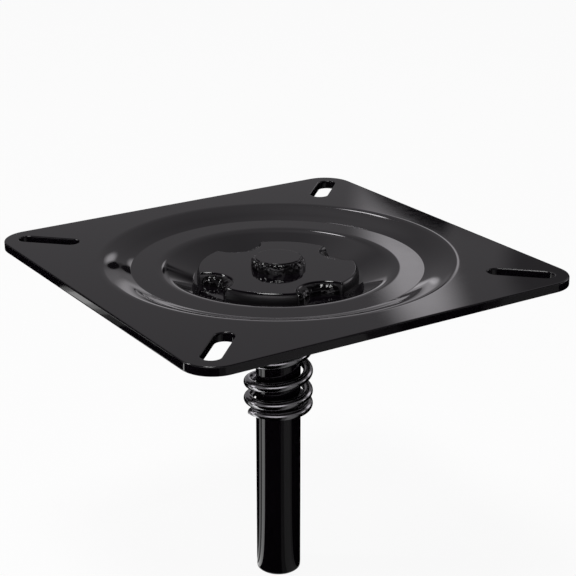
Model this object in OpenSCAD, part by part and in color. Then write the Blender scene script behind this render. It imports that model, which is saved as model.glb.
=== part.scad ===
// Pin mount for the seat of a boat seat pedestal. A square pressed steel plate bolts under
// the seat through four corner slots. A thick scalloped disc lies on the floor of the plate's
// round dish and is welded there in its four notches. A solid round pin stands through both
// and hangs down into the pedestal's tube, with a loose coil spring round its upper half.
//
// Millimetres. The origin is on the pin's axis, level with the flat top of the plate where
// the seat rests. Z points up to the seat. The plate's corners lie on the X and Y axes.

/* [Seat plate] */
// side of the square plate
plate_side = 175; // [168:1:200]
// thickness of the plate's sheet
plate_t = 3.8; // [3:0.1:5]
// radius of the plate's rounded corners
corner_r = 13; // [8:0.5:20]
// length of each corner slot over its round ends
slot_length = 26.5; // [18:0.5:32]
// width of each corner slot
slot_w = 7.7; // [6:0.1:9]
// metal left between a slot's outer end and the plate's corner
slot_edge = 5.9; // [4:0.1:10]

/* [Pressed dish] */
// distance from the middle of the plate's side in to the bend where the dish starts
lip_edge = 14.7; // [11:0.1:17]
// depth of the flat ring below the plate's top
step_drop = 3.8; // [2:0.1:5]
// outer radius of the flat ring
ring_r = 60.3; // [57:0.1:62]
// width of the flat ring
ring_w = 12.5; // [8:0.1:14]
// depth of the dish floor below the flat ring
bowl_drop = 5.3; // [3.5:0.1:8]
// part of the step's width taken by its foot, which is a little less steep than its middle
foot_share = 0.2; // [0.1:0.01:0.3]
// part of the step's width taken by its head, where it eases off towards the plate
head_share = 0.39; // [0.2:0.01:0.5]
// slope of the foot against the mean slope of the step
foot_ease = 0.95; // [0.8:0.01:1]
// slope of the head against the mean slope of the step
head_ease = 0.82; // [0.7:0.01:1]
// floor left round the scalloped disc before the dish wall rises
floor_rest = 1.3; // [1:0.1:3]
// bend at the edge of the dish, taken on the top face
lip_bend = 12; // [5:0.5:15]
// bend between the head and the middle of the step, taken on the top face
head_bend = 67; // [30:1:80]
// bend between the middle and the foot of the step, taken on the top face
foot_bend = 57; // [20:1:80]
// bend at the outer edge of the flat ring, taken on the top face
step_bend = 2; // [0.5:0.1:4]
// bend from the flat ring into the bowl, taken on the top face
rim_bend = 12.8; // [6:0.1:14]
// bend from the bowl wall to its floor, taken on the top face
floor_bend = 3; // [1:0.1:5]

/* [Scalloped disc] */
// radius of the disc over its four lobes
disc_r = 33.5; // [31:0.1:35]
// thickness of the disc
disc_t = 4.7; // [3:0.1:7]
// rounding of the upper edge of the lobes
disc_edge = 1.2; // [0.5:0.1:2]
// rounding of the upper edge of the notches
notch_edge = 1; // [0.4:0.1:1.8]
// radius of each round notch in the disc
notch_r = 10.5; // [8:0.1:12]
// how far each notch cuts in from the disc's edge
notch_depth = 9.2; // [6:0.1:11]

/* [Pin] */
// diameter of the solid pin below the plate
pin_d = 19.05; // [16:0.05:22]
// how much less its neck measures where it stands through plate and disc
pin_neck = 0.45; // [0.4:0.05:2]
// length of the pin over all
pin_length = 144.4; // [110:0.2:180]
// how far the pin stands above the disc
pin_proud = 4.3; // [3:0.1:4.4]
// bevel round the pin's lower end
pin_bevel = 0.9; // [0.4:0.1:2]
// bevel round the pin's upper end
pin_top_bevel = 0.3; // [0.1:0.05:0.6]
// room between the pin's neck and the holes that it stands in
pin_fit = 0.06; // [0.03:0.01:0.15]

/* [Welds] */
// how far the bead round the pin spreads over the disc
bead_leg = 1.9; // [1:0.1:3]
// metal of the pin left bare above that bead
bead_bare = 0.2; // [0.1:0.1:1.5]
// height of each notch bead on the notch wall
notch_bead_h = 4.5; // [2:0.1:4.5]
// how far each notch bead spreads out over the dish floor
notch_bead_leg = 4; // [2.5:0.1:7]
// leg of the tack that holds the end of the spring under the dish
tack_leg = 2.2; // [1:0.1:2.5]

/* [Spring] */
// diameter of the spring wire
wire_d = 4.2; // [3:0.1:4.5]
// room between the pin and the inside of the spring
spring_room = 1; // [0.8:0.1:3]
// number of turns
spring_turns = 6.7; // [5.2:0.1:8]
// length of the spring along the pin
spring_length = 54.7; // [45:0.1:80]
// depth ground away from the wire at the lower end, where the bush bears
spring_ground = 1.7; // [0.5:0.1:2]
// turns over which each end closes up
spring_close = 2.3; // [1.5:0.1:2.5]
// direction of the cut end below, seen from above
spring_end = 220; // [0:5:360]

/* [Hidden] */
$fa = 4;
$fs = 0.5;

// heights of the faces that rest on each other
ring_z = -step_drop;
floor_z = ring_z - bowl_drop;
under_z = floor_z - plate_t;
disc_z = floor_z + disc_t;
pin_top = disc_z + pin_proud;
pin_low = pin_top - pin_length;

// plate outline: distance from the axis to a rounded corner, and the middle of each slot
corner_reach = plate_side / sqrt(2) - (sqrt(2) - 1) * corner_r;
slot_mid = corner_reach - slot_edge - slot_length / 2;

// pin, its neck, the holes for the neck, and the notches
pin_r = pin_d / 2;
neck_r = pin_r - pin_neck / 2;
hole_r = neck_r + pin_fit;
notch_at = disc_r - notch_depth + notch_r;

// step between the flat ring and the plate: its outer radius and its width
step_r = plate_side / 2 - lip_edge;
step_w = step_r - ring_r;

// top face of the dish as [radius, height, bend] from the pin outward
dish_path = [
    [hole_r, floor_z, 0],
    [disc_r + floor_rest, floor_z, floor_bend],
    [ring_r - ring_w, ring_z, rim_bend],
    [ring_r, ring_z, step_bend],
    [ring_r + foot_share * step_w, ring_z + foot_ease * foot_share * step_drop, foot_bend],
    [step_r - head_share * step_w, -head_ease * head_share * step_drop, head_bend],
    [step_r, 0, lip_bend],
    [plate_side, 0, 0]
];

// spring: wire centre radius and heights, as wound, before its lower end is ground
coil_r = pin_r + spring_room + wire_d / 2;
coil_top = under_z - wire_d / 2;
coil_rise = spring_length - wire_d + spring_ground;

// pitch of the open middle and slope at each end, where the first turn just clears the next
end_turn = wire_d + 0.1;
end_part = 2 * spring_close / (2 * spring_close - 1);
open_pitch = (coil_rise - end_part * spring_close * end_turn)
    / (spring_turns - spring_close - end_part / 2);
end_pitch = end_part * (end_turn - open_pitch / (2 * spring_close));

// steel under gloss black coating, and the darker bare wire and weld metal
coat = [0.16, 0.16, 0.17];
weld = [0.09, 0.09, 0.1];
wire = [0.3, 0.3, 0.31];

// unit vector from point p to point q, both in the plane of a section
function heading(p, q) = [q[0] - p[0], q[1] - p[1]] / norm([q[0] - p[0], q[1] - p[1]]);
// vector v turned left by angle a
function turned(v, a) = [v[0] * cos(a) - v[1] * sin(a), v[0] * sin(a) + v[1] * cos(a)];
// direction out of the top face on the run from corner i to the next
function out(path, i) = turned(heading(path[i], path[i + 1]), 90);
// size of the turn at corner i in degrees
function bend(path, i) = acos(min(1, heading(path[i - 1], path[i]) * heading(path[i], path[i + 1])));
// how far the bend at corner i reaches along the runs beside it
function reach(path, i) = i < 1 || i > len(path) - 2 ? 0 : path[i][2] * tan(bend(path, i) / 2);
// part of the two bends at the ends of run i that fits between them
function room(path, i) =
    norm([path[i + 1][0] - path[i][0], path[i + 1][1] - path[i][1]])
        / max(0.01, reach(path, i) + reach(path, i + 1));
// radius of the bend at corner i, drawn in where it would run into the next one
function bend_r(path, i) = path[i][2] * min(1, 0.98 * room(path, i - 1), 0.98 * room(path, i));
// +1 where the path turns upward at corner i and -1 where it turns downward
function side(path, i) = heading(path[i], path[i + 1]) * out(path, i - 1) > 0 ? 1 : -1;

// Point of the bend at corner i, a share f of the way round it, at depth t below the path
function bend_point(path, i, t, f) =
    let (
        s = side(path, i),
        r = bend_r(path, i),
        start = [path[i][0], path[i][1]] - heading(path[i - 1], path[i]) * r * tan(bend(path, i) / 2),
        centre = start + s * r * out(path, i - 1))
    centre - (s * r + t) * turned(out(path, i - 1), s * bend(path, i) * f);

// Outline at depth t below a path, with each corner bent to its radius
function sheet_edge(path, t) =
    let (last = len(path) - 1)
    concat(
        [[path[0][0], path[0][1]] - t * out(path, 0)],
        [for (i = [1 : last - 1]) let (n = ceil(bend(path, i) / 3.5))
            for (k = [0 : n]) bend_point(path, i, t, k / n)],
        [[path[last][0], path[last][1]] - t * out(path, last - 1)]);

// Round sheet of thickness t turned below a path
module turned_sheet(path, t) {
    under = sheet_edge(path, t);
    rotate_extrude($fn = 144)
        polygon(concat(sheet_edge(path, 0), [for (i = [len(under) - 1 : -1 : 0]) under[i]]));
}

// A round-ended slot cutter along X through the whole plate
module slot_cutter() {
    run = slot_length / 2 - slot_w / 2;
    translate([slot_mid, 0, -plate_t - 5])
        linear_extrude(plate_t + 10)
            union() {
                for (x = [-run, run])
                    translate([x, 0])
                        circle(slot_w / 2);
                square([2 * run, slot_w], center = true);
            }
}

// The square plate with its rounded corners, pressed dish, pin hole and four corner slots
module seat_plate() {
    arm = plate_side / 2 - corner_r;
    color(coat)
        difference() {
            intersection() {
                turned_sheet(dish_path, plate_t);
                translate([0, 0, under_z - 5])
                    rotate([0, 0, 45])
                        linear_extrude(-under_z + 10)
                            union() {
                                square([2 * arm, plate_side], center = true);
                                square([plate_side, 2 * arm], center = true);
                                for (x = [-arm, arm], y = [-arm, arm])
                                    translate([x, y])
                                        circle(corner_r);
                            }
            }
            for (a = [0 : 90 : 270])
                rotate([0, 0, a])
                    slot_cutter();
        }
}

// Points round an upper edge of the disc at radius r, rounded by e in n steps. They lie
// inside that radius on a lobe, where s is 1, and outside it on a notch, where s is -1.
function round_edge(r, e, n, s) = [for (k = [0 : n]) let (q = 90 * k / n)
    [r - s * e * (1 - cos(q)), disc_z - e * (1 - sin(q))]];

// One round cutter for a notch, flared to round the notch's upper edge
module notch_cutter() {
    rotate_extrude($fn = 96)
        polygon(concat(
            [[0, disc_z + 1], [0, floor_z - 1], [notch_r, floor_z - 1]],
            round_edge(notch_r, notch_edge, 5, -1),
            [[notch_r + notch_edge, disc_z + 1]]));
}

// The thick disc with four lobes towards the plate's corners and a round notch between each
module scalloped_disc() {
    color(coat)
        difference() {
            rotate_extrude($fn = 144)
                polygon(concat(
                    [[hole_r, disc_z], [hole_r, floor_z], [disc_r, floor_z]],
                    round_edge(disc_r, disc_edge, 6, 1)));
            for (a = [45 : 90 : 315])
                translate([notch_at * cos(a), notch_at * sin(a), 0])
                    notch_cutter();
        }
}

// The solid pin, bevelled at both ends, with a shoulder that seats under the dish floor
module pedestal_pin() {
    color(coat)
        rotate_extrude($fn = 96)
            polygon([
                [0, pin_low],
                [pin_r - pin_bevel, pin_low],
                [pin_r, pin_low + pin_bevel],
                [pin_r, under_z],
                [neck_r, under_z],
                [neck_r, pin_top - pin_top_bevel],
                [neck_r - pin_top_bevel, pin_top],
                [0, pin_top]
            ]);
}

// Uneven swell of a weld bead at angle a, from ripples that never quite repeat
function ripple(a, seed) =
    1 + 0.07 * sin(17 * a + 40 * seed) + 0.06 * sin(7 * a + 95 * seed) + 0.05 * sin(29 * a + 11 * seed);

// Closed skin over rings of equal length, with a flat face over each open end
module skin(rings, closed) {
    n = len(rings);
    m = len(rings[0]);
    points = [for (ring = rings, p = ring) p];
    sides = [for (i = [0 : n - (closed ? 1 : 2)], j = [0 : m - 1])
        [i * m + j, i * m + (j + 1) % m, ((i + 1) % n) * m + (j + 1) % m, ((i + 1) % n) * m + j]];
    ends = closed ? [] : [[for (j = [m - 1 : -1 : 0]) j], [for (j = [0 : m - 1]) (n - 1) * m + j]];
    polyhedron(points, concat(sides, ends));
}

// The rough fillet bead round the pin's neck, lying on the disc
module pin_weld() {
    steps = 90;
    arc = 6;
    inner = neck_r / cos(180 / steps) + 0.001;
    height = 0.9 * (pin_proud - bead_bare);
    rings = [for (i = [0 : steps - 1]) let (
            a = 360 * i / steps,
            k = ripple(a, 1) - 1)
        [for (p = concat(
            [[inner, 0]],
            [for (j = [0 : arc]) let (q = 90 * j / arc)
                [inner + bead_leg * pow(cos(q), 0.8) * (1 + k * cos(q)),
                 j == 0 ? 0 : height * pow(sin(q), 0.8) * (1 + 0.6 * k * sin(q))]]))
            [p[0] * cos(a), p[0] * sin(a), disc_z + p[1]]]];
    color(weld)
        skin(rings, true);
}

// One bead along the wall of a notch, standing on the dish floor
module notch_weld(turn, seed) {
    steps = 36;
    arc = 7;
    sweep = 66;
    rings = [for (i = [0 : steps]) let (
            s = sweep - 2 * sweep * i / steps,
            taper = pow(max(0.0001, 1 - pow(abs(s) / (sweep + 3), 4)), 0.5),
            k = ripple(1.3 * s, seed),
            leg = notch_bead_leg * taper * k,
            height = notch_bead_h * taper * (0.88 + 0.5 * (k - 1)))
        [for (p = concat(
            [[notch_r, 0]],
            [for (j = [0 : arc]) let (q = 90 * j / arc)
                [notch_r - leg * pow(sin(q), 0.9), j == arc ? 0 : height * pow(cos(q), 0.9)]]))
            [notch_at - p[0] * cos(s), p[0] * sin(s), floor_z + p[1]]]];
    color(weld)
        rotate([0, 0, turn])
            skin(rings, false);
}

module notch_weld_1() {
    notch_weld(45, 1);
}

module notch_weld_2() {
    notch_weld(135, 4);
}

module notch_weld_3() {
    notch_weld(225, 7);
}

module notch_weld_4() {
    notch_weld(315, 12);
}

// Turns climbed from the end: slow in the closing turns and steady in the open middle
function ramp(n) = end_pitch * n + (open_pitch - end_pitch) * n * n / (2 * spring_close);
function climb(n) =
    n < spring_close ? ramp(n)
    : n > spring_turns - spring_close ? coil_rise - ramp(spring_turns - n)
    : ramp(spring_close) + open_pitch * (n - spring_close);

// height of the wire's centre n turns up from the lower end
function wire_z(n) = coil_top - coil_rise + climb(n);

// The coil spring: one round wire, wound to the right, close together at both cut ends and
// ground flat at the lower one
module friction_spring() {
    facets = 12;
    per_turn = 30;
    steps = ceil(spring_turns * per_turn);
    rings = [for (i = [0 : steps]) let (
            n = spring_turns * i / steps,
            a = spring_end + 360 * n,
            z = wire_z(n),
            lean = atan((climb(min(n + 0.01, spring_turns)) - climb(max(n - 0.01, 0))) / 0.02
                / (2 * PI * coil_r)))
        [for (j = [0 : facets - 1]) let (
            q = 360 * j / facets,
            u = wire_d / 2 * cos(q),
            v = max(wire_d / 2 * sin(q), (under_z - spring_length - z) / cos(lean)))
            [(coil_r + u) * cos(a) + v * sin(lean) * sin(a),
             (coil_r + u) * sin(a) - v * sin(lean) * cos(a),
             z + v * cos(lean)]]];
    color(wire)
        skin(rings, false);
}

// The small tack between the last of the wire and the underside of the dish
module spring_tack() {
    steps = 12;
    r = wire_d / 2;
    rings = [for (i = [0 : steps]) let (
            n = spring_turns - 0.075 + 0.06 * i / steps,
            a = spring_end + 360 * n,
            z = wire_z(n),
            swell = 0.45 + 0.55 * sin(180 * i / steps) + 0.1 * (ripple(9 * a, 3) - 1),
            leg = tack_leg * swell)
        [for (p = concat(
            [for (q = [55 : -15 : -20]) [coil_r + (r + 0.03) * cos(q), z + (r + 0.03) * sin(q)]],
            [[coil_r + r + 0.45 * leg, under_z - 0.9 * leg],
             [coil_r + r + 0.8 * leg, under_z - 0.45 * leg],
             [coil_r + r + leg, under_z],
             [coil_r + 0.57 * r, under_z]]))
            [p[0] * cos(a), p[0] * sin(a), p[1]]]];
    color(weld)
        skin(rings, false);
}

seat_plate();
scalloped_disc();
pedestal_pin();
pin_weld();
notch_weld_1();
notch_weld_2();
notch_weld_3();
notch_weld_4();
friction_spring();
spring_tack();
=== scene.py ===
import math
import bmesh
import bpy
from mathutils import Euler, Matrix, Vector, noise


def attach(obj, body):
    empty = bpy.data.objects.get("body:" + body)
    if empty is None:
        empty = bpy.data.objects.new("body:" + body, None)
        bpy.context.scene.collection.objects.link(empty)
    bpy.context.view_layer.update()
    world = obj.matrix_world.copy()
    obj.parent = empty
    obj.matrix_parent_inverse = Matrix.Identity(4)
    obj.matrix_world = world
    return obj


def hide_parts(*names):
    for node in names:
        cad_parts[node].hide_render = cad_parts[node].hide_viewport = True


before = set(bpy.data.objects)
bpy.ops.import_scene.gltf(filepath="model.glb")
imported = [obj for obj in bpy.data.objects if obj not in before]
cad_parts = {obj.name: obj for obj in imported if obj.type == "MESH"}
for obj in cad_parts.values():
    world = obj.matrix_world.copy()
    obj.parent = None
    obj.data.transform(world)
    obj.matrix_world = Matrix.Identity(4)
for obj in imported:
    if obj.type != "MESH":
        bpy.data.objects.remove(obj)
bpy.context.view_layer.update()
mm = 0.001

# Seat plate
# The square plate that the seat is bolted to: 3.8 mm steel sheet, cut with four corner slots and
# pressed into a round stepped dish, then coated in gloss black. Its corners lie on X and Y.
plate_half, plate_t, corner_r = 87.5, 3.8, 13.0
slot_run, slot_r, slot_mid = 9.4, 3.85, 99.209
hole_r, floor_z, ring_z = 9.36, -9.1, -3.8
ring_r, step_r = 60.3, 72.8
step_w = step_r - ring_r
dish_path = [(hole_r, floor_z, 0), (34.8, floor_z, 3), (47.8, ring_z, 12.8), (ring_r, ring_z, 2),
             (ring_r + 0.2 * step_w, 0.81 * ring_z, 57), (step_r - 0.39 * step_w, 0.32 * ring_z, 67),
             (step_r, 0, 12), (75.6, 0, 0)]
cut_round, dish_steps = 0.45, 288


def pressed_line(path, depth, step=2.5):
    """Section of the sheet at a depth below its top face, with every corner bent to its radius."""
    points = [Vector(corner[:2]) for corner in path]
    runs = [(b - a).normalized() for a, b in zip(points, points[1:])]
    turns = [0] + [a.angle_signed(b) * -1 for a, b in zip(runs, runs[1:])] + [0]
    reaches = [corner[2] * math.tan(abs(turn) / 2) for corner, turn in zip(path, turns)]
    line = [points[0] + depth * Vector((runs[0].y, -runs[0].x))]
    for i in range(1, len(path) - 1):
        here, bend, turn = points[i], path[i][2], turns[i]
        side = 1 if turn > 0 else -1
        up = Vector((-runs[i - 1].y, runs[i - 1].x))
        start = here - runs[i - 1] * reaches[i]
        centre = start + side * bend * up
        spare = (here - points[i - 1]).length - reaches[i - 1] - reaches[i]
        line.append(start - depth * up - runs[i - 1] * min(0.3, spare / 3))
        n = max(3, math.ceil(math.degrees(abs(turn)) / step), math.ceil(bend * abs(turn) / 0.9))
        for k in range(n + 1):
            line.append(centre - (side * bend + depth) * (Matrix.Rotation(turn * k / n, 2) @ up))
        spare = (points[i + 1] - here).length - reaches[i + 1] - reaches[i]
        line.append(here + runs[i] * (reaches[i] + min(0.3, spare / 3)) - depth * Vector((-runs[i].y, runs[i].x)))
    return line + [points[-1] + depth * Vector((runs[-1].y, -runs[-1].x))]


def round_row(r, z, steps):
    """One ring of points round the pin's axis."""
    return [(r * math.cos(2 * math.pi * i / steps), r * math.sin(2 * math.pi * i / steps), z) for i in range(steps)]


def plate_row(inset, z):
    """The plate's outline drawn in by an inset: four rounded corners joined by straight sides."""
    row, centre, r = [], (plate_half - corner_r) * math.sqrt(2), corner_r - inset
    for k in range(4):
        for j in range(25):
            a = math.radians(90 * k - 45 + 90 * j / 24)
            turn = math.radians(90 * k)
            row.append(Vector((centre * math.cos(turn) + r * math.cos(a), centre * math.sin(turn) + r * math.sin(a), z)))
        a, b = math.radians(90 * k + 45), math.radians(90 * k + 90)
        end = Vector((centre * math.cos(b) + r * math.cos(a), centre * math.sin(b) + r * math.sin(a), z))
        start = row[-1].copy()
        row += [start.lerp(end, j / 24) for j in range(1, 24)]
    return row


def slot_row(turn, grow, z):
    """The outline of one corner slot, widened by grow."""
    row = []
    for end in (1, -1):
        for j in range(17):
            a = math.radians(-90 + 180 * j / 16)
            x = slot_mid + end * (slot_run + (slot_r + grow) * math.cos(a))
            row.append(Matrix.Rotation(turn, 3, "Z") @ Vector((x, end * (slot_r + grow) * math.sin(a), z)))
    return row


def add_row(bm, points):
    return [bm.verts.new(Vector(p) * mm) for p in points]


def join_rows(bm, a, b):
    """Quads between two closed rows of equal length."""
    for i in range(len(a)):
        bm.faces.new((a[i - 1], a[i], b[i], b[i - 1]))


def join_all(bm, rows):
    for a, b in zip(rows, rows[1:]):
        join_rows(bm, a, b)


def fill_flat(bm, rows):
    """Fills the flat face bounded by closed rows, leaving the inner ones open as holes."""
    edges = [bm.edges.get((row[i - 1], row[i])) or bm.edges.new((row[i - 1], row[i])) for row in rows for i in range(len(row))]
    bmesh.ops.triangle_fill(bm, use_beauty=True, edges=edges, normal=(0, 0, 1))


def finish_piece(bm, name, finish, sharp=35):
    """Turns the mesh into an object with smooth shading that stays crisp at sharp corners."""
    bmesh.ops.recalc_face_normals(bm, faces=bm.faces[:])
    mesh = bpy.data.meshes.new(name)
    bm.to_mesh(mesh)
    bm.free()
    mesh.shade_smooth()
    mesh.set_sharp_from_angle(angle=math.radians(sharp))
    mesh.materials.append(finish)
    piece = bpy.data.objects.new(name, mesh)
    bpy.context.scene.collection.objects.link(piece)
    return piece


def rounded_rows(make, top, bottom, round_r, steps=4):
    """Rows down a cut edge whose upper and lower corners are rounded, with a guard row beside each."""
    rows = [make(round_r + 0.3, top)]
    for k in range(steps + 1):
        q = math.radians(90 * k / steps)
        rows.append(make(round_r * (1 - math.sin(q)), top - round_r * (1 - math.cos(q))))
    rows += [make(0, top - round_r - 0.3), make(0, bottom + round_r + 0.3)]
    for k in range(steps + 1):
        q = math.radians(90 * k / steps)
        rows.append(make(round_r * (1 - math.cos(q)), bottom + round_r * (1 - math.sin(q))))
    return rows + [make(round_r + 0.3, bottom)]


def gloss_coating(name, dark, light, rough, peel):
    """Black gloss coating: faint cloudy colour, soft changes of gloss, and a fine orange-peel surface."""
    finish = bpy.data.materials.new(name)
    finish.use_nodes = True
    nodes, links = finish.node_tree.nodes, finish.node_tree.links
    shader = nodes["Principled BSDF"]
    shader.inputs["IOR"].default_value = 1.5
    place = nodes.new("ShaderNodeTexCoord")
    cloud = nodes.new("ShaderNodeTexNoise")
    cloud.inputs["Scale"].default_value = 38
    cloud.inputs["Detail"].default_value = 6
    links.new(place.outputs["Object"], cloud.inputs["Vector"])
    tone = nodes.new("ShaderNodeMix")
    tone.data_type = "RGBA"
    tone.inputs["A"].default_value = (*dark, 1)
    tone.inputs["B"].default_value = (*light, 1)
    links.new(cloud.outputs["Fac"], tone.inputs["Factor"])
    links.new(tone.outputs["Result"], shader.inputs["Base Color"])
    haze = nodes.new("ShaderNodeTexNoise")
    haze.inputs["Scale"].default_value = 160
    haze.inputs["Detail"].default_value = 8
    haze.inputs["Roughness"].default_value = 0.65
    links.new(place.outputs["Object"], haze.inputs["Vector"])
    gloss = nodes.new("ShaderNodeMapRange")
    gloss.inputs["From Min"].default_value = 0.35
    gloss.inputs["From Max"].default_value = 0.75
    gloss.inputs["To Min"].default_value = rough[0]
    gloss.inputs["To Max"].default_value = rough[1]
    links.new(haze.outputs["Fac"], gloss.inputs["Value"])
    links.new(gloss.outputs["Result"], shader.inputs["Roughness"])
    skin = nodes.new("ShaderNodeTexNoise")
    skin.inputs["Scale"].default_value = peel[0]
    skin.inputs["Detail"].default_value = 2
    links.new(place.outputs["Object"], skin.inputs["Vector"])
    bump = nodes.new("ShaderNodeBump")
    bump.inputs["Strength"].default_value = peel[1]
    bump.inputs["Distance"].default_value = peel[2]
    links.new(skin.outputs["Fac"], bump.inputs["Height"])
    links.new(bump.outputs["Normal"], shader.inputs["Normal"])
    return finish


black_gloss = gloss_coating("black_gloss", (0.0024, 0.0017, 0.0028), (0.0038, 0.0029, 0.0042), (0.03, 0.06), (900, 0.1, 0.00001))

bm = bmesh.new()
top_rows = [add_row(bm, round_row(p.x, p.y, dish_steps)) for p in pressed_line(dish_path, 0)]
under_rows = [add_row(bm, round_row(p.x, p.y, dish_steps)) for p in pressed_line(dish_path, plate_t)]
join_all(bm, top_rows)
join_all(bm, under_rows)
join_rows(bm, top_rows[0], under_rows[0])
rim_rows = [add_row(bm, row) for row in rounded_rows(plate_row, 0, -plate_t, cut_round)]
join_all(bm, rim_rows)
slot_rows = []
for k in range(4):
    rows = [add_row(bm, row) for row in rounded_rows(lambda grow, z: slot_row(math.radians(90 * k), grow, z), 0, -plate_t, cut_round)]
    join_all(bm, rows)
    slot_rows.append(rows)
fill_flat(bm, [rim_rows[0], top_rows[-1]] + [rows[0] for rows in slot_rows])
fill_flat(bm, [rim_rows[-1], under_rows[-1]] + [rows[-1] for rows in slot_rows])
plate = finish_piece(bm, "pressed_plate", black_gloss)
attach(plate, "root")
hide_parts("seat_plate")

# Scalloped disc
# A thick punched steel disc that stiffens the dish floor round the pin. It has four lobes towards
# the plate's corners, a round notch between each for its welds, and softly rounded upper edges.
disc_r, disc_t, edge_in, edge_down, notch_r, notch_at, tip_r = 33.5, 4.7, 1.5, 4.4, 10.5, 34.8, 1.3
disc_z = floor_z + disc_t


def disc_row(inset, z):
    """The disc's outline drawn in by an inset: lobes, notches and a small round at each tip."""
    tip_at = disc_r - tip_r
    spread = math.acos((notch_at**2 + tip_at**2 - (notch_r + tip_r) ** 2) / (2 * notch_at * tip_at))
    row = []
    for k in range(4):
        notch = math.radians(45 + 90 * k)
        centre = Vector((notch_at * math.cos(notch), notch_at * math.sin(notch)))
        tips = [Vector((tip_at * math.cos(notch + s * spread), tip_at * math.sin(notch + s * spread))) for s in (-1, 1)]
        far = (tips[0] - centre).angle_signed(-centre)
        ends = [math.atan2(*(tip - centre).yx) for tip in tips]
        if ends[0] < ends[1]:
            ends[0] += 2 * math.pi
        lobe = [notch - math.pi / 2 + spread, notch - spread]
        for j in range(24):
            a = lobe[0] + (lobe[1] - lobe[0]) * (j + 1) / 25
            row.append((Vector((math.cos(a), math.sin(a))) * (disc_r - inset)).to_3d() + Vector((0, 0, z)))
        a0, a1 = notch - spread, ends[0] + math.pi
        while a1 - a0 < 0:
            a1 += 2 * math.pi
        while a1 - a0 > 2 * math.pi:
            a1 -= 2 * math.pi
        for j in range(9):
            a = a0 + (a1 - a0) * j / 8
            row.append((tips[0] + Vector((math.cos(a), math.sin(a))) * (tip_r - inset)).to_3d() + Vector((0, 0, z)))
        for j in range(1, 40):
            a = ends[0] + (ends[1] - ends[0]) * j / 40
            row.append((centre + Vector((math.cos(a), math.sin(a))) * (notch_r + inset)).to_3d() + Vector((0, 0, z)))
        a0, a1 = ends[1] - math.pi, notch + spread
        while a1 - a0 < 0:
            a1 += 2 * math.pi
        while a1 - a0 > 2 * math.pi:
            a1 -= 2 * math.pi
        for j in range(9):
            a = a0 + (a1 - a0) * j / 8
            row.append((tips[1] + Vector((math.cos(a), math.sin(a))) * (tip_r - inset)).to_3d() + Vector((0, 0, z)))
    return row


bm = bmesh.new()
rows = [disc_row(edge_in + 0.1, disc_z)]
for k in range(17):
    q = math.radians(90 * k / 16)
    rows.append(disc_row(edge_in * (1 - math.sin(q)), disc_z - edge_down * (1 - math.cos(q))))
rows.append(disc_row(0, floor_z + 0.02))
rows = [add_row(bm, row) for row in rows]
join_all(bm, rows)
bore = [add_row(bm, round_row(hole_r, z, 96)) for z in (disc_z, floor_z + 0.02)]
join_all(bm, bore)
fill_flat(bm, [rows[0], bore[0]])
fill_flat(bm, [rows[-1], bore[-1]])
disc_gloss = gloss_coating("disc_gloss", (0.0024, 0.0017, 0.0028), (0.0038, 0.0029, 0.0042), (0.03, 0.06), (900, 0.1, 0.00001))
nodes, links = disc_gloss.node_tree.nodes, disc_gloss.node_tree.links
facing = nodes.new("ShaderNodeNewGeometry")
upward = nodes.new("ShaderNodeSeparateXYZ")
links.new(facing.outputs["True Normal"], upward.inputs[0])
sheared = nodes.new("ShaderNodeMapRange")
sheared.inputs["From Min"].default_value = 0.2
sheared.inputs["From Max"].default_value = 0.6
sheared.inputs["To Min"].default_value = 0.42
sheared.inputs["To Max"].default_value = 0
links.new(upward.outputs["Z"], sheared.inputs["Value"])
dulled = nodes.new("ShaderNodeMath")
dulled.operation = "MAXIMUM"
links.new(sheared.outputs["Result"], dulled.inputs[0])
links.new(nodes["Principled BSDF"].inputs["Roughness"].links[0].from_socket, dulled.inputs[1])
links.new(dulled.outputs[0], nodes["Principled BSDF"].inputs["Roughness"])
disc = finish_piece(bm, "lobed_disc", disc_gloss)
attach(disc, "root")
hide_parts("scalloped_disc")

# Pin
# The solid round steel bar that turns in the pedestal's bush. It is turned down a little where it
# stands through plate and disc, bevelled at its ends and coated with the rest.
pin_r, neck_r, pin_top, pin_low, under_z = 9.525, 9.3, -0.1, -144.5, -12.9
pin_line = [(0.0, pin_top), (neck_r - 0.5, pin_top)]
pin_line += [(neck_r - 0.2 + 0.2 * math.sin(math.radians(q)), pin_top - 0.2 + 0.2 * math.cos(math.radians(q))) for q in range(0, 91, 15)]
pin_line += [(neck_r, pin_top - 1), (neck_r, under_z + 0.05), (neck_r + 0.04, under_z), (pin_r - 0.05, under_z), (pin_r, under_z - 0.05), (pin_r, under_z - 0.5)]
pin_line += [(pin_r, pin_low + 1.5), (pin_r, pin_low + 1.15)]
pin_line += [(pin_r - 0.25 * (1 - math.cos(math.radians(q))), pin_low + 1.15 - 0.6 * math.sin(math.radians(q))) for q in (15, 30, 45)]
pin_line += [(pin_r - 0.7, pin_low + 0.2), (pin_r - 0.85, pin_low + 0.07), (pin_r - 1.05, pin_low), (pin_r - 1.6, pin_low), (0.0, pin_low)]
bm = bmesh.new()
rows = [add_row(bm, round_row(r, z, 128)) for r, z in pin_line[1:-1]]
join_all(bm, rows)
bm.faces.new(rows[0])
bm.faces.new(rows[-1])
pin = finish_piece(bm, "coated_pin", black_gloss, 60)
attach(pin, "root")
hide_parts("pedestal_pin")

# Weld round the pin
# A rough fillet bead laid by hand round the pin's upper end, where it joins the disc. It is lumpy,
# with a small ripple from each step of the torch, and the coating lies thick and dark over it.
coated_bead = gloss_coating("coated_bead", (0.0014, 0.0011, 0.0015), (0.003, 0.0026, 0.0032), (0.04, 0.1), (1300, 0.25, 0.00005))
bead_leg, bead_h = 1.9, 3.9


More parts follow.
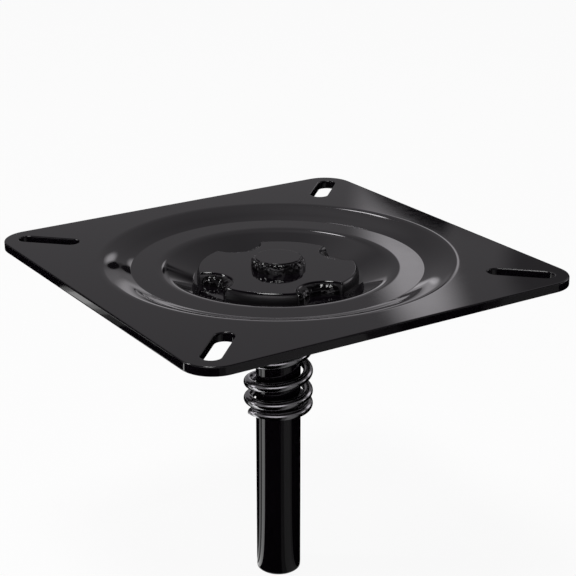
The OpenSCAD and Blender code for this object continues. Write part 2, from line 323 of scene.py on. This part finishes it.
def lump(p, seed):
    """Uneven swell of a bead at a point, in millimetres: broad lumps with finer ones over them."""
    v = Vector(p)
    return 0.4 * noise.noise(v * 0.3 + Vector((seed, 0, 0))) + 0.42 * noise.noise(v * 0.75 + Vector((0, seed, 0))) + 0.12 * noise.noise(v * 1.7 + Vector((0, 0, seed)))


bm = bmesh.new()
rings = []
for i in range(300):
    a = 2 * math.pi * i / 300
    ring = [(neck_r + 0.001, disc_z + 0.02)]
    for j in range(15):
        q = math.radians(90 * j / 14)
        out, up = bead_leg * math.cos(q) ** 0.8, bead_h * math.sin(q) ** 0.8
        swell = lump(((neck_r + out) * math.cos(a), (neck_r + out) * math.sin(a), up), 3) * math.sin(math.radians(20 + 140 * j / 14))
        ring.append((max(neck_r + 0.001, neck_r + out + swell * math.cos(q)), disc_z + max(0.02, up + (swell * math.sin(q) if j else 0))))
    rings.append(add_row(bm, [(r * math.cos(a), r * math.sin(a), z) for r, z in ring]))
join_all(bm, rings + [rings[0]])
pin_bead = finish_piece(bm, "pin_bead", coated_bead, 70)
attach(pin_bead, "root")
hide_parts("pin_weld")

# Welds in the notches
# Four short, thick beads that hold the disc to the dish floor, one along the wall of each notch.
# Each is laid by hand like the one round the pin, so that no two are alike.
notch_h, notch_leg, sweep = 4.2, 3.0, 67
dull_bead = gloss_coating("dull_bead", (0.0014, 0.0011, 0.0015), (0.003, 0.0026, 0.0032), (0.08, 0.16), (1300, 0.25, 0.00005))
dull_bead.node_tree.nodes["Principled BSDF"].inputs["Specular IOR Level"].default_value = 0.3
for number, seed in enumerate((1, 4, 7, 12)):
    turn = math.radians(45 + 90 * number)
    bm = bmesh.new()
    rings = []
    for i in range(97):
        s = math.radians(sweep - 2 * sweep * i / 96)
        taper = math.sqrt(max(0.0001, 1 - (abs(s) / math.radians(sweep + 1)) ** 6))
        ring = [(notch_r + edge_in, 0.02), (notch_r + edge_in, max(0.04, notch_h * taper - 0.4))]
        for j in range(25):
            q = math.radians(90 * j / 24)
            leg, up = notch_leg * taper * math.sin(q) ** 1.25, notch_h * taper * math.cos(q) ** 0.9
            x, y = notch_at - (notch_r - leg) * math.cos(s), (notch_r - leg) * math.sin(s)
            swell = 0.6 * lump((x, y, up), 5 * seed) * taper * math.sin(math.radians(15 + 150 * j / 24))
            ring.append((min(notch_r, notch_r - leg - swell * math.sin(q)), max(0.02, up + swell * math.cos(q))) if 0 < j < 24 else (notch_r - leg, max(0.02, up)))
        rings.append([bm.verts.new((Matrix.Rotation(turn, 3, "Z") @ Vector((notch_at - r * math.cos(s), r * math.sin(s), floor_z + z))) * mm) for r, z in ring])
    for a, b in zip(rings, rings[1:]):
        join_rows(bm, a, b)
    bm.faces.new(rings[0])
    bm.faces.new(rings[-1])
    bead = finish_piece(bm, f"notch_bead_{number + 1}", dull_bead, 70)
    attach(bead, "root")
    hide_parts(f"notch_weld_{number + 1}")

# Coil spring
# A coil of thick round spring wire, wound close round the pin. Its turns close up at both cut ends,
# and the lower end is ground flat where the pedestal's bush bears. It shines like dark metal.
wire_r, coil_r, turns, wire_end = 2.1, 12.625, 6.7, 220
coil_top, coil_rise, ground_z = under_z - wire_r, 52.2, under_z - 54.7
close_turns, end_turn = 2.3, 4.3
end_part = 2 * close_turns / (2 * close_turns - 1)
open_pitch = (coil_rise - end_part * close_turns * end_turn) / (turns - close_turns - end_part / 2)
end_pitch = end_part * (end_turn - open_pitch / (2 * close_turns))


def climb(n):
    """Height climbed n turns up from the lower end."""
    def ramp(m):
        return end_pitch * m + (open_pitch - end_pitch) * m * m / (2 * close_turns)
    if n < close_turns:
        return ramp(n)
    if n > turns - close_turns:
        return coil_rise - ramp(turns - n)
    return ramp(close_turns) + open_pitch * (n - close_turns)


def wire_ring(r, low):
    """Section of the wire: round, or cut off flat at the height low beside its centre."""
    first = max(math.radians(-78), math.asin(max(-1, low / r)))
    arc = [first + (math.pi - 2 * first) * j / 30 for j in range(31)]
    return [(r * math.cos(q), r * math.sin(q)) for q in arc] + [(0, max(-r, low))]


dark_wire = gloss_coating("dark_wire", (0.25, 0.247, 0.256), (0.45, 0.445, 0.46), (0.1, 0.2), (2200, 0.2, 0.00002))
dark_wire.node_tree.nodes["Principled BSDF"].inputs["Metallic"].default_value = 1

bm = bmesh.new()
rings, steps = [], math.ceil(turns * 72)
ends = [(wire_r - 0.4, 0.0), (wire_r - 0.12, 0.1), (wire_r, 0.4), (wire_r, 0.7)]
per_mm = 1 / (2 * math.pi * coil_r)
path = [(r, along * per_mm) for r, along in ends] + [(wire_r, turns * i / steps) for i in range(1, steps)]
path += [(r, turns - along * per_mm) for r, along in reversed(ends)]
for r, n in path:
    a = math.radians(wire_end + 360 * n)
    lean = math.atan((climb(min(n + 0.01, turns)) - climb(max(n - 0.01, 0))) / 0.02 * per_mm)
    z = coil_top - coil_rise + climb(n)
    row = []
    for u, v in wire_ring(r, (ground_z - z) / math.cos(lean)):
        x, y = coil_r + u, -v * math.sin(lean)
        row.append((x * math.cos(a) - y * math.sin(a), x * math.sin(a) + y * math.cos(a), z + v * math.cos(lean)))
    rings.append(add_row(bm, row))
join_all(bm, rings)
bm.faces.new(rings[0])
bm.faces.new(rings[-1])
spring = finish_piece(bm, "wire_coil", dark_wire, 30)
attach(spring, "root")
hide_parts("friction_spring")

# Tack
# One small tack of weld under the dish keeps the last turn of the wire in place.
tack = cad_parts["spring_tack"]
tack.data.materials.clear()
tack.data.materials.append(coated_bead)

# Studio
# A plain white floor under the pin's foot, a grey studio with soft far lights, and a softbox above.
# The floor shows white to the eye and in the gloss, and keeps the soft shadow of the plate.
floor_mesh = bpy.data.meshes.new("floor")
size = 40.0
floor_mesh.from_pydata([(-size, -size, 0), (size, -size, 0), (size, size, 0), (-size, size, 0)], [], [(0, 1, 2, 3)])
floor = bpy.data.objects.new("floor", floor_mesh)
floor.location.z = pin_low * mm - 0.0001
bpy.context.scene.collection.objects.link(floor)
white = bpy.data.materials.new("white_floor")
white.use_nodes = True
nodes, links = white.node_tree.nodes, white.node_tree.links
nodes.clear()
matt = nodes.new("ShaderNodeBsdfDiffuse")
matt.inputs["Color"].default_value = (0.9, 0.9, 0.9, 1)
glow = nodes.new("ShaderNodeEmission")
light_path = nodes.new("ShaderNodeLightPath")
seen = light_path.outputs["Is Camera Ray"]
for ray in ("Is Glossy Ray", "Is Transmission Ray"):
    either = nodes.new("ShaderNodeMath")
    either.operation = "MAXIMUM"
    links.new(seen, either.inputs[0])
    links.new(light_path.outputs[ray], either.inputs[1])
    seen = either.outputs[0]
share = nodes.new("ShaderNodeMath")
share.operation = "MULTIPLY"
share.inputs[1].default_value = 0.93
links.new(seen, share.inputs[0])
blend = nodes.new("ShaderNodeMixShader")
links.new(share.outputs[0], blend.inputs[0])
links.new(matt.outputs[0], blend.inputs[1])
links.new(glow.outputs[0], blend.inputs[2])
sheet_back = nodes.new("ShaderNodeNewGeometry")
clear = nodes.new("ShaderNodeBsdfTransparent")
one_sided = nodes.new("ShaderNodeMixShader")
links.new(sheet_back.outputs["Backfacing"], one_sided.inputs[0])
links.new(blend.outputs[0], one_sided.inputs[1])
links.new(clear.outputs[0], one_sided.inputs[2])
out = nodes.new("ShaderNodeOutputMaterial")
links.new(one_sided.outputs[0], out.inputs["Surface"])
floor_mesh.materials.append(white)

# Cards laid on the floor round the foot, hidden from the camera and seen only in the gloss: painted reflections, dark
# ones so that gloss black shows black, and bright ones that glow though they are no lamps.
# Each is (from, to, near, far, grey), in degrees and metres round the pin. The bright one and the
# bare floor beside it make the two streaks on the pin's left; the bright card's streak is a painted highlight.
for number, (start, end, near, far, reflected_grey) in enumerate((
    (0, 168, 0.0105, 3.0, 0.0),
    (168, 181, 0.3, 0.385, 0.0),
    (168, 181, 0.385, 0.403, 0.12),
    (168, 181, 0.403, 0.412, 0.5),
    (168, 181, 0.412, 0.421, 1.0),
    (168, 181, 0.421, 0.442, 1.7),
    (168, 181, 0.442, 0.452, 0.6),
    (168, 181, 0.452, 3.0, 0.0),
    (181, 191, 0.0105, 0.3, 0.3),
    (191, 210, 0.0105, 0.3, 2.0),
    (181, 195, 0.3, 3.0, 0.0),
    (195, 199.5, 0.3, 0.42, 3.0),
    (195, 199.5, 0.42, 3.0, 0.0),
    (199.5, 210, 0.3, 3.0, 0.0),
    (210, 294, 0.0105, 3.0, 0.0),
    (294, 310, 0.0105, 3.0, 0.1),
    (310, 342, 0.0105, 3.0, 0.24),
    (342, 352, 0.0105, 0.3, 0.15),
    (342, 345, 0.3, 3.0, 0.05),
    (345, 352, 0.3, 3.0, 0.0),
    (352, 360, 0.0105, 0.3, 0.0),
    (352, 353.4, 0.3, 3.0, 0.05),
    (353.4, 360, 0.3, 3.0, 0.17),
)):
    steps = 24
    ring = [math.radians(start + (end - start) * i / steps) for i in range(steps + 1)]
    points = [(r * math.cos(a), r * math.sin(a), 0) for r in (near, far) for a in ring]
    card_mesh = bpy.data.meshes.new(f"card_{number + 1}")
    card_mesh.from_pydata(points, [], [(i, i + 1, i + steps + 2, i + steps + 1) for i in range(steps)])
    card = bpy.data.objects.new(f"card_{number + 1}", card_mesh)
    card.location.z = pin_low * mm + 0.0002
    gloss_only_finish = bpy.data.materials.new(f"card_{number + 1}")
    gloss_only_finish.use_nodes = True
    gloss_only_finish.node_tree.nodes.clear()
    # Painted reflection: the card glows at its grey, the bright ones above white, though it is no lamp.
    gloss_only_glow = gloss_only_finish.node_tree.nodes.new("ShaderNodeEmission")
    gloss_only_glow.inputs["Color"].default_value = (reflected_grey, reflected_grey, reflected_grey, 1)
    gloss_only_finish.node_tree.links.new(gloss_only_glow.outputs[0], gloss_only_finish.node_tree.nodes.new("ShaderNodeOutputMaterial").inputs["Surface"])
    card_mesh.materials.append(gloss_only_finish)
    # Hidden from the camera, from diffuse light and from shadows, so that the card is only a painted reflection in the
    # gloss.
    card.visible_camera = card.visible_diffuse = card.visible_shadow = False
    bpy.context.scene.collection.objects.link(card)

world = bpy.data.worlds.new("studio")
bpy.context.scene.world = world
world.use_nodes = True
nodes, links = world.node_tree.nodes, world.node_tree.links
sky = nodes["Background"]
sky.inputs["Color"].default_value = (1, 0.965, 1.008, 1)
around = nodes.new("ShaderNodeTexCoord")


def far_glow(so_far, turn, height, tilt, wide, tall, strength, core):
    """Adds a soft-edged patch of light far off, at a turn and a height in degrees, to the studio."""
    local = nodes.new("ShaderNodeMapping")
    local.vector_type = "TEXTURE"
    local.inputs["Rotation"].default_value = [math.radians(a) for a in (tilt, -height, turn)]
    local.inputs["Scale"].default_value = (1e6, math.sin(math.radians(wide)), math.sin(math.radians(tall)))
    links.new(around.outputs["Generated"], local.inputs["Vector"])
    reach = nodes.new("ShaderNodeVectorMath")
    reach.operation = "LENGTH"
    links.new(local.outputs["Vector"], reach.inputs[0])
    fade = nodes.new("ShaderNodeMapRange")
    fade.interpolation_type = "SMOOTHSTEP"
    fade.inputs["From Min"].default_value = core
    fade.inputs["From Max"].default_value = 1
    fade.inputs["To Min"].default_value = strength
    fade.inputs["To Max"].default_value = 0
    links.new(reach.outputs["Value"], fade.inputs["Value"])
    total = nodes.new("ShaderNodeMath")
    total.operation = "ADD"
    links.new(so_far, total.inputs[0])
    links.new(fade.outputs["Result"], total.inputs[1])
    return total.outputs[0]


split = nodes.new("ShaderNodeSeparateXYZ")
links.new(around.outputs["Generated"], split.inputs[0])
rise = nodes.new("ShaderNodeMapRange")
rise.interpolation_type = "SMOOTHSTEP"
for socket, value in zip(("From Min", "From Max", "To Min", "To Max"), (0.35, 0.95, 0.245, 0.32)):
    rise.inputs[socket].default_value = value
links.new(split.outputs["Z"], rise.inputs["Value"])
level = rise.outputs["Result"]
for glow in (
    (130, 54, 0, 28, 26, 0.4, 0.0),
    (103, 5, 0, 9, 5, 0.5, 0.1),
    (104.6, 7, 0, 2, 2.6, 0.6, 0.3),
    (100, 11.5, 0, 4.5, 5, 0.14, 0.3),
    (97.1, 19.8, 28, 1.8, 4.6, 1.15, 0.2),
    (107.3, 39.5, 20, 1.7, 2.1, 10, 0.5),
    (97.4, 16.2, 15, 1.9, 3, -0.65, 0.4),
    (94.5, 15.5, 0, 3, 3, -0.14, 0.5),
    (91.8, 19, 0, 2.2, 2.4, -0.15, 0.5),
    (83, 6, 0, 14, 17, -0.25, 0.7),
    (158, 14, 0, 24, 30, -0.22, 0.6),
    (190, 38, 0, 4, 11, 7, 0.5),
    (188, 10, 0, 12, 18, 0.8, 0.4),
    (190, 1, 0, 11, 9, 2.5, 0.5),
    (180, 64, 0, 42, 30, -0.3, 0.6),
    (42, 14, 0, 16, 22, 1.1, 0.4),
    (10, 52, 0, 40, 32, -0.25, 0.6),
    (-88, 17, 0, 45, 16, 1.1, 0.5),
    (-78, 66, 0, 60, 34, -0.35, 0.7),
):
    level = far_glow(level, *glow)
floor_level = nodes.new("ShaderNodeMath")
floor_level.operation = "MAXIMUM"
floor_level.inputs[1].default_value = 0.01
links.new(level, floor_level.inputs[0])
links.new(floor_level.outputs[0], sky.inputs["Strength"])

for name, spot, aim, width, height, radiance in (
    ("top_softbox", (-0.15, -0.35, 1.7), (0, 0, 0), 0.5, 0.5, 20),
    ("left_softbox", (-1.6, -0.3, 1.35), (0, 0, 0), 0.35, 0.35, 18),
):
    light = bpy.data.lights.new(name, "AREA")
    light.shape, light.size, light.size_y = "RECTANGLE", width, height
    light.energy = radiance * math.pi * width * height
    lamp = bpy.data.objects.new(name, light)
    lamp.location = spot
    lamp.rotation_euler = (Vector(aim) - Vector(spot)).to_track_quat("-Z", "Y").to_euler()
    bpy.context.scene.collection.objects.link(lamp)

# Camera
# A long lens a little above the plate, looking across it from one corner.
camera = bpy.data.objects.new("camera", bpy.data.cameras.new("camera"))
camera.location = (0.130236, -0.593203, 0.209670)
camera.rotation_euler = Euler((math.radians(69.784), 0, math.radians(11.993)))
camera.data.lens = 97.655
camera.data.sensor_width = 36
camera.data.clip_start = 0.01
bpy.context.scene.collection.objects.link(camera)
bpy.context.scene.camera = camera
bpy.context.scene.view_settings.view_transform = "Standard"
